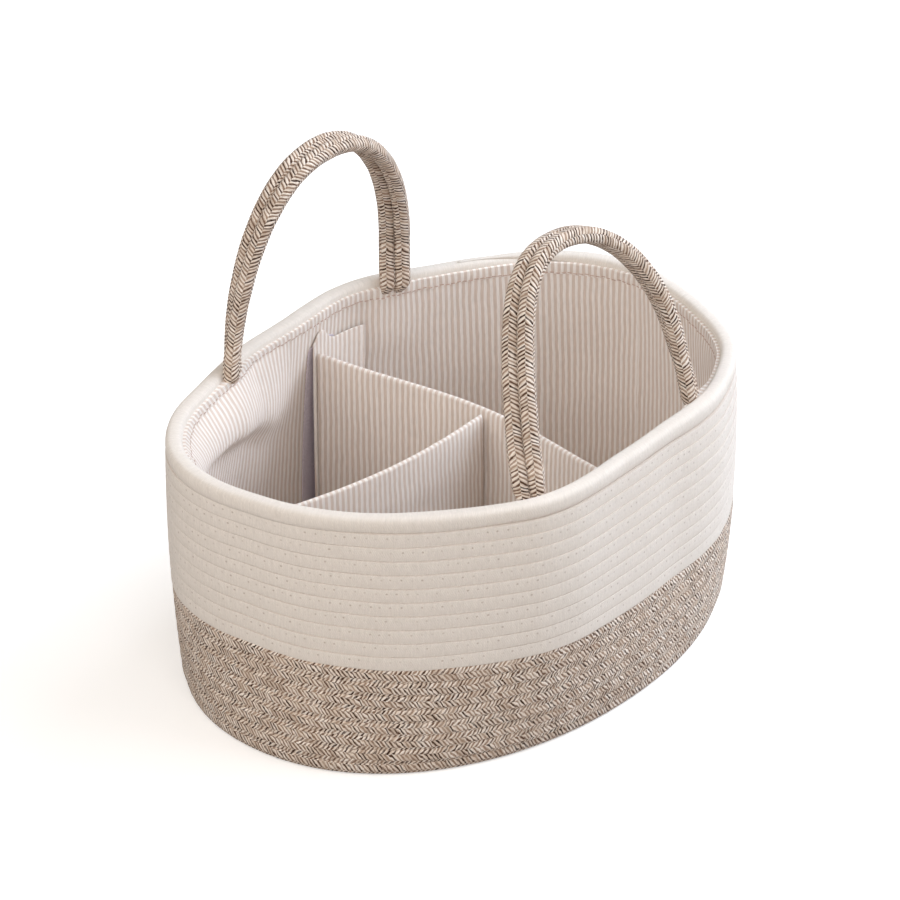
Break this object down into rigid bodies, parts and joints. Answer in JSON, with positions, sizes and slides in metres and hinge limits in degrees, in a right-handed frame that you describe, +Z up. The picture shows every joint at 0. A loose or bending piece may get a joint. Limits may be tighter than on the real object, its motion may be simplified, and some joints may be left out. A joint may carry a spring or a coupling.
{
  "type": "diaper caddy",
  "caption": "Oval open-topped rope nursery caddy with striped lining, swinging rope handles and a padded divider insert that lifts out.",
  "frame": {"origin": "under the middle of the base, on the surface that the caddy stands on", "axes": "+X along the long side, towards the large compartment; +Y from the near handle to the far one; +Z up"},
  "size_m": [0.3764, 0.2782, 0.2732],
  "materials": {
    "heathered_rope": "braided cotton cord, cream, tan and dark brown strands",
    "off_white_rope": "smooth braided cotton cord, off-white",
    "striped_cloth": "cream and beige ticking stripes, matt woven cloth",
    "foam_board": "matt foam board, hidden in its cover",
    "hook_and_loop_tape": "matt pale hook-and-loop tape"
  },
  "bodies": {
    "caddy": {"base_rope_coil": "heathered_rope", "lower_wall_rope": "heathered_rope", "upper_wall_rope": "off_white_rope", "rim_rope": "off_white_rope", "liner_wall": "striped_cloth", "liner_hem": "striped_cloth", "liner_floor": "striped_cloth", "near_loop_strip": "hook_and_loop_tape", "far_loop_strip": "hook_and_loop_tape", "end_loop_strip": "hook_and_loop_tape", "near_handle_left_foot_inner": "heathered_rope", "near_handle_left_foot_outer": "heathered_rope", "near_handle_right_foot_inner": "heathered_rope", "near_handle_right_foot_outer": "heathered_rope", "far_handle_left_foot_inner": "heathered_rope", "far_handle_left_foot_outer": "heathered_rope", "far_handle_right_foot_inner": "heathered_rope", "far_handle_right_foot_outer": "heathered_rope"},
    "near_handle": {"near_handle_inner_rope": "heathered_rope", "near_handle_outer_rope": "heathered_rope"},
    "far_handle": {"far_handle_inner_rope": "heathered_rope", "far_handle_outer_rope": "heathered_rope"},
    "insert": {"main_divider_cover": "striped_cloth", "main_divider_board": "foam_board", "near_divider_wing": "striped_cloth", "far_divider_wing": "striped_cloth", "near_hook_strip": "hook_and_loop_tape", "far_hook_strip": "hook_and_loop_tape"},
    "cross_divider": {"cross_divider_cover": "striped_cloth", "cross_divider_board": "foam_board", "cross_hook_strip": "hook_and_loop_tape"}
  },
  "joints": [
    {"name": "near_handle_swing", "type": "hinge", "parent": "caddy", "child": "near_handle", "pos_m": [0, -0.10681, 0.16361], "axis": [1, 0, 0], "range_deg": [-24, 101]},
    {"name": "far_handle_swing", "type": "hinge", "parent": "caddy", "child": "far_handle", "pos_m": [0, 0.10681, 0.16361], "axis": [1, 0, 0], "range_deg": [-85, 40]},
    {"name": "insert_lift", "type": "slide", "parent": "caddy", "child": "insert", "axis": [0, 0, 1], "range_m": [0, 0.1]},
    {"name": "cross_divider_swing", "type": "hinge", "parent": "insert", "child": "cross_divider", "pos_m": [0.022, 0, 0.068], "axis": [0, 0, 1], "range_deg": [0, 15]}
  ]
}
